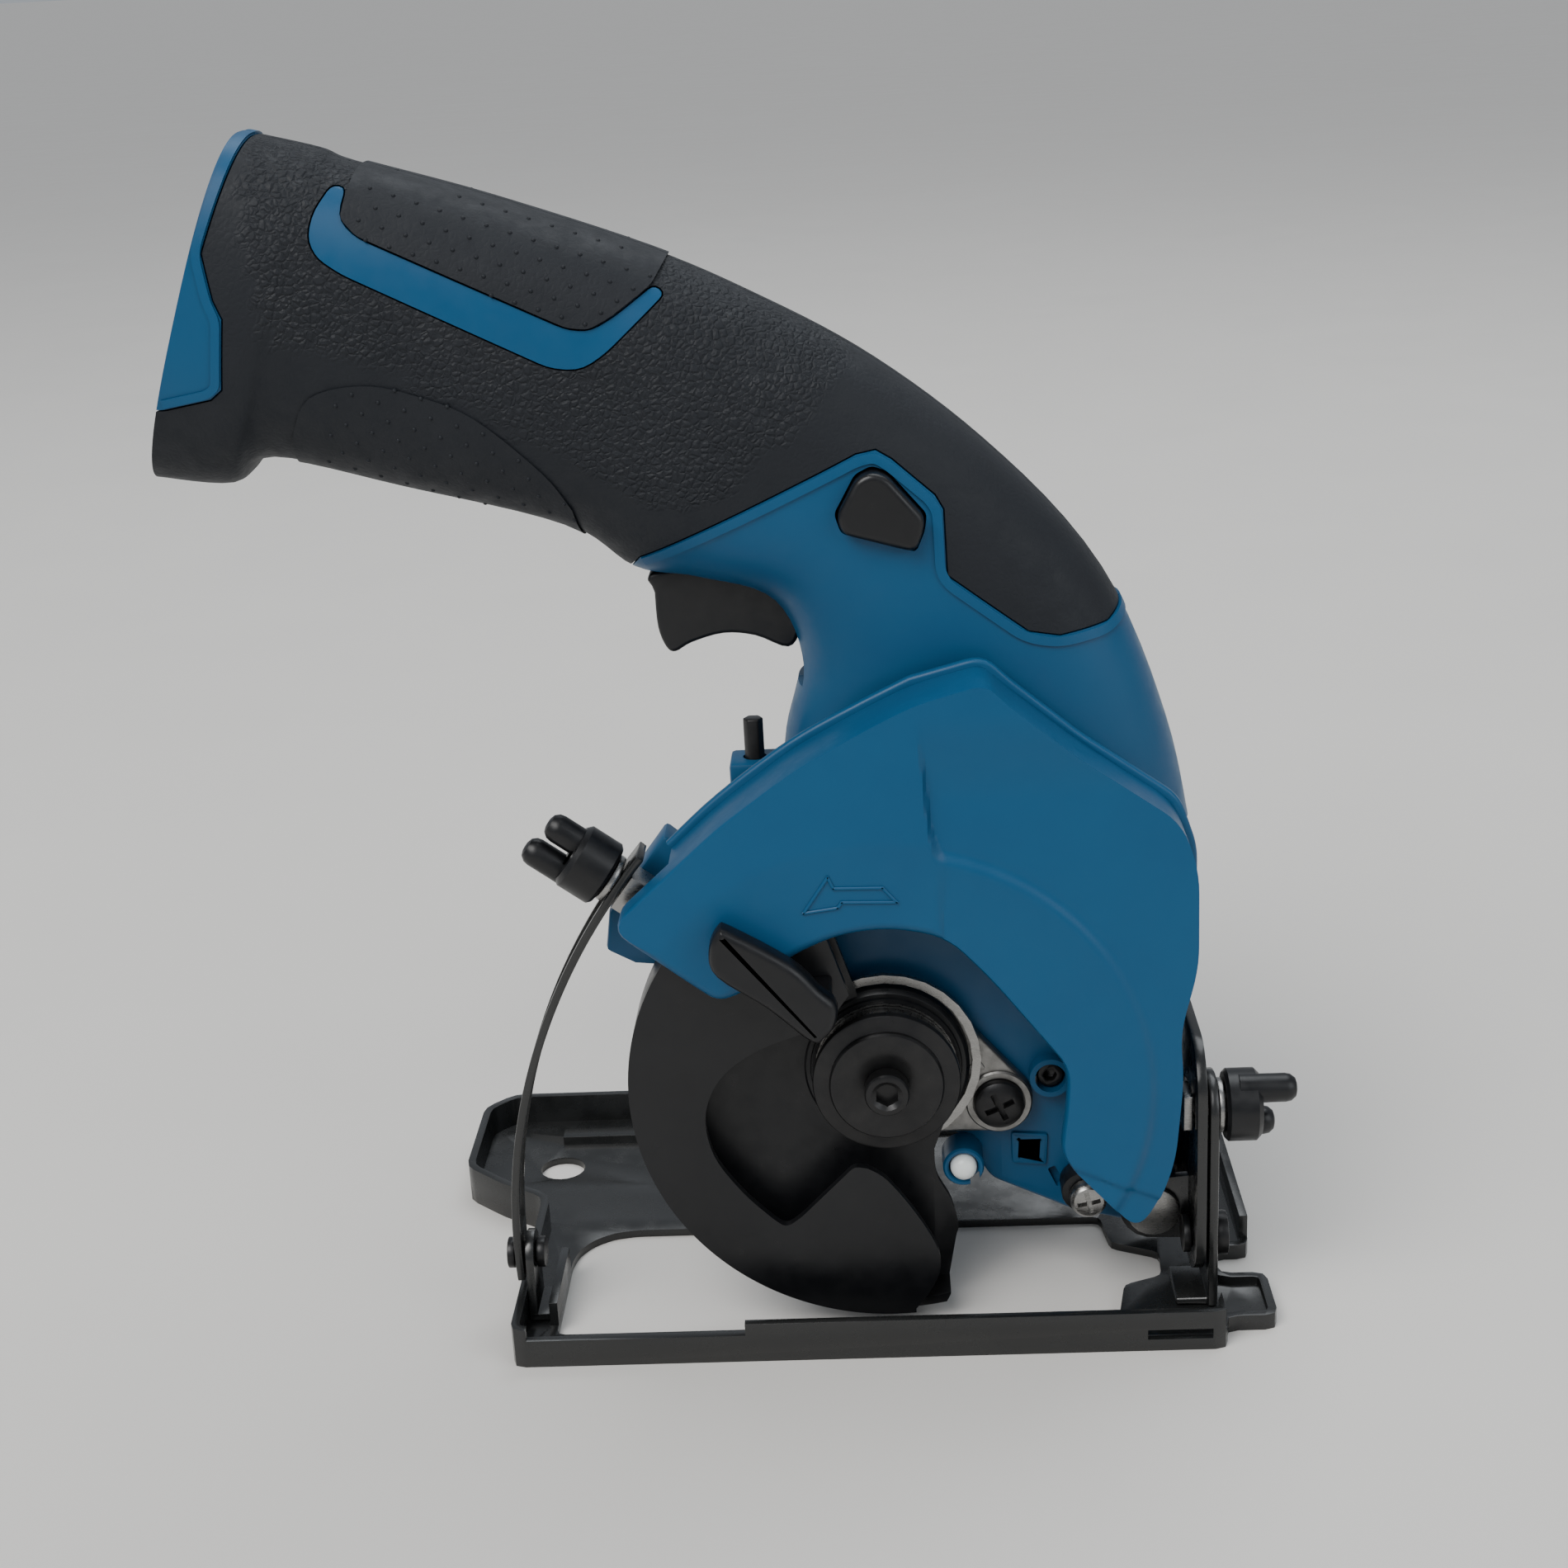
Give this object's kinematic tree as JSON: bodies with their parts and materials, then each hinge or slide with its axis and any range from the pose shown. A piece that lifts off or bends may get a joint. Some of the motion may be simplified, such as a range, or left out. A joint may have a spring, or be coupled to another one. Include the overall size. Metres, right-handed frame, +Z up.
{
  "type": "small battery circular saw",
  "caption": "Compact circular saw with a tilting sole, a body that pivots for depth, a sprung lower blade guard, a curved soft-grip handle open for a battery, and a side motor.",
  "frame": {"origin": "on the underside of the sole plate's wide part, straight below the arbor's line, 60 mm to the motor side of the lower guard's outer face", "axes": "+X towards the front of the saw along the cut, +Y towards the motor and across the wide part of the sole, +Z up, square to the sole"},
  "size_m": [0.2031, 0.1008, 0.223],
  "materials": {
    "teal_plastic": "satin moulded teal plastic",
    "black_elastomer": "matt soft-touch elastomer, finely grained",
    "black_plastic": "satin black moulded plastic",
    "black_paint": "gloss black powder coat on sheet steel",
    "cast_aluminium": "as cast, slightly grainy",
    "bright_steel": "zinc plated or ground",
    "black_steel": "black oxide",
    "copper": "bare metal",
    "white_lens": "milky moulded lens"
  },
  "bodies": {
    "base": {"sole_plate": "black_paint", "rear_ear": "black_paint", "rear_rivet": "black_steel", "front_ear": "black_paint", "front_rivet": "black_steel", "bevel_bolt": "bright_steel", "bevel_washer": "bright_steel"},
    "carriage": {"bevel_quadrant": "black_paint", "depth_pin": "bright_steel", "depth_pin_clip": "bright_steel", "depth_guide": "black_paint"},
    "saw_body": {"housing_right": "teal_plastic", "housing_left": "teal_plastic", "grip_right": "black_elastomer", "grip_left": "black_elastomer", "accent_right": "teal_plastic", "accent_left": "teal_plastic", "blade_cover": "teal_plastic", "bearing_retainer": "cast_aluminium", "retainer_screw": "black_steel", "guard_snap_ring": "bright_steel", "guard_spring": "bright_steel", "lamp_holder": "teal_plastic", "lamp_lens": "white_lens", "lower_washer": "black_plastic", "lower_screw": "bright_steel", "gear_case": "cast_aluminium", "gear_plate": "cast_aluminium", "spindle_bearing": "bright_steel", "motor_can": "bright_steel", "motor_cap": "black_plastic", "terminal_block": "black_plastic", "terminal_1": "copper", "terminal_2": "copper", "switch_unit": "black_plastic", "case_screw_1": "black_steel", "case_screw_2": "black_steel", "case_screw_3": "black_steel", "boss_screw": "black_steel", "clamp_lug": "cast_aluminium", "clamp_nut": "bright_steel", "clamp_bolt": "bright_steel", "clamp_washer": "bright_steel"},
    "guard": {"lower_guard": "black_plastic", "guard_lever": "black_plastic"},
    "spindle": {"outer_flange": "black_steel", "inner_flange": "bright_steel", "blade_bolt": "black_steel", "spindle": "bright_steel", "final_gear": "bright_steel"},
    "step_gear": {"step_gear": "bright_steel"},
    "motor_rotor": {"motor_pinion": "bright_steel", "armature": "copper", "cooling_fan": "black_plastic"},
    "trigger": {"trigger": "black_plastic"},
    "lock_button": {"lock_button": "black_plastic"},
    "spindle_lock": {"shaft_lock": "black_plastic"},
    "hex_key": {"hex_key": "black_steel"},
    "depth_knob": {"depth_knob": "black_plastic"},
    "bevel_knob": {"bevel_knob": "black_plastic"}
  },
  "joints": [
    {"name": "bevel", "type": "hinge", "parent": "base", "child": "carriage", "pos_m": [0.056, -0.052, 0.014], "axis": [1, 0, 0], "range_deg": [0, 45]},
    {"name": "depth", "type": "hinge", "parent": "carriage", "child": "saw_body", "pos_m": [0.05, -0.036, 0.017], "axis": [0, -1, 0], "range_deg": [0, 33.82]},
    {"name": "guard", "type": "hinge", "parent": "saw_body", "child": "guard", "pos_m": [0, -0.05, 0.0505], "axis": [0, 1, 0], "range_deg": [0, 100], "stiffness_Nm_per_rad": 0.05, "springref_deg": -57.3},
    {"name": "spindle", "type": "hinge", "parent": "saw_body", "child": "spindle", "pos_m": [0, -0.04, 0.0505], "axis": [0, 1, 0], "continuous": true},
    {"name": "step_gear", "type": "hinge", "parent": "saw_body", "child": "step_gear", "pos_m": [0.00435, -0.03, 0.06673], "axis": [0, 1, 0], "continuous": true},
    {"name": "motor", "type": "hinge", "parent": "saw_body", "child": "motor_rotor", "pos_m": [0.011, 0, 0.07825], "axis": [0, 1, 0], "continuous": true},
    {"name": "trigger", "type": "hinge", "parent": "saw_body", "child": "trigger", "pos_m": [-0.0155, -0.027, 0.1375], "axis": [0, 1, 0], "range_deg": [0, 9], "stiffness_Nm_per_rad": 0.3, "springref_deg": -5.73},
    {"name": "lock_button", "type": "slide", "parent": "saw_body", "child": "lock_button", "axis": [0, 1, 0], "range_m": [-0.0022, 0.0022], "stiffness_N_per_m": 600},
    {"name": "spindle_lock", "type": "slide", "parent": "saw_body", "child": "spindle_lock", "axis": [0, -1, 0], "range_m": [0, 0.003], "stiffness_N_per_m": 500, "springref_m": -0.002},
    {"name": "hex_key", "type": "slide", "parent": "saw_body", "child": "hex_key", "axis": [0, 0, 1], "range_m": [0, 0.012]},
    {"name": "depth_knob", "type": "hinge", "parent": "saw_body", "child": "depth_knob", "pos_m": [-0.04729, -0.052, 0.08978], "axis": [-0.8007, 0, 0.599], "range_deg": [0, 90]},
    {"name": "bevel_knob", "type": "hinge", "parent": "base", "child": "bevel_knob", "pos_m": [0.062, -0.052, 0.041], "axis": [1, 0, 0], "range_deg": [0, 90]}
  ],
  "couplings": [
    {"joint": "step_gear", "follows": "spindle", "ratio": -3.8},
    {"joint": "motor", "follows": "spindle", "ratio": 14.25}
  ]
}
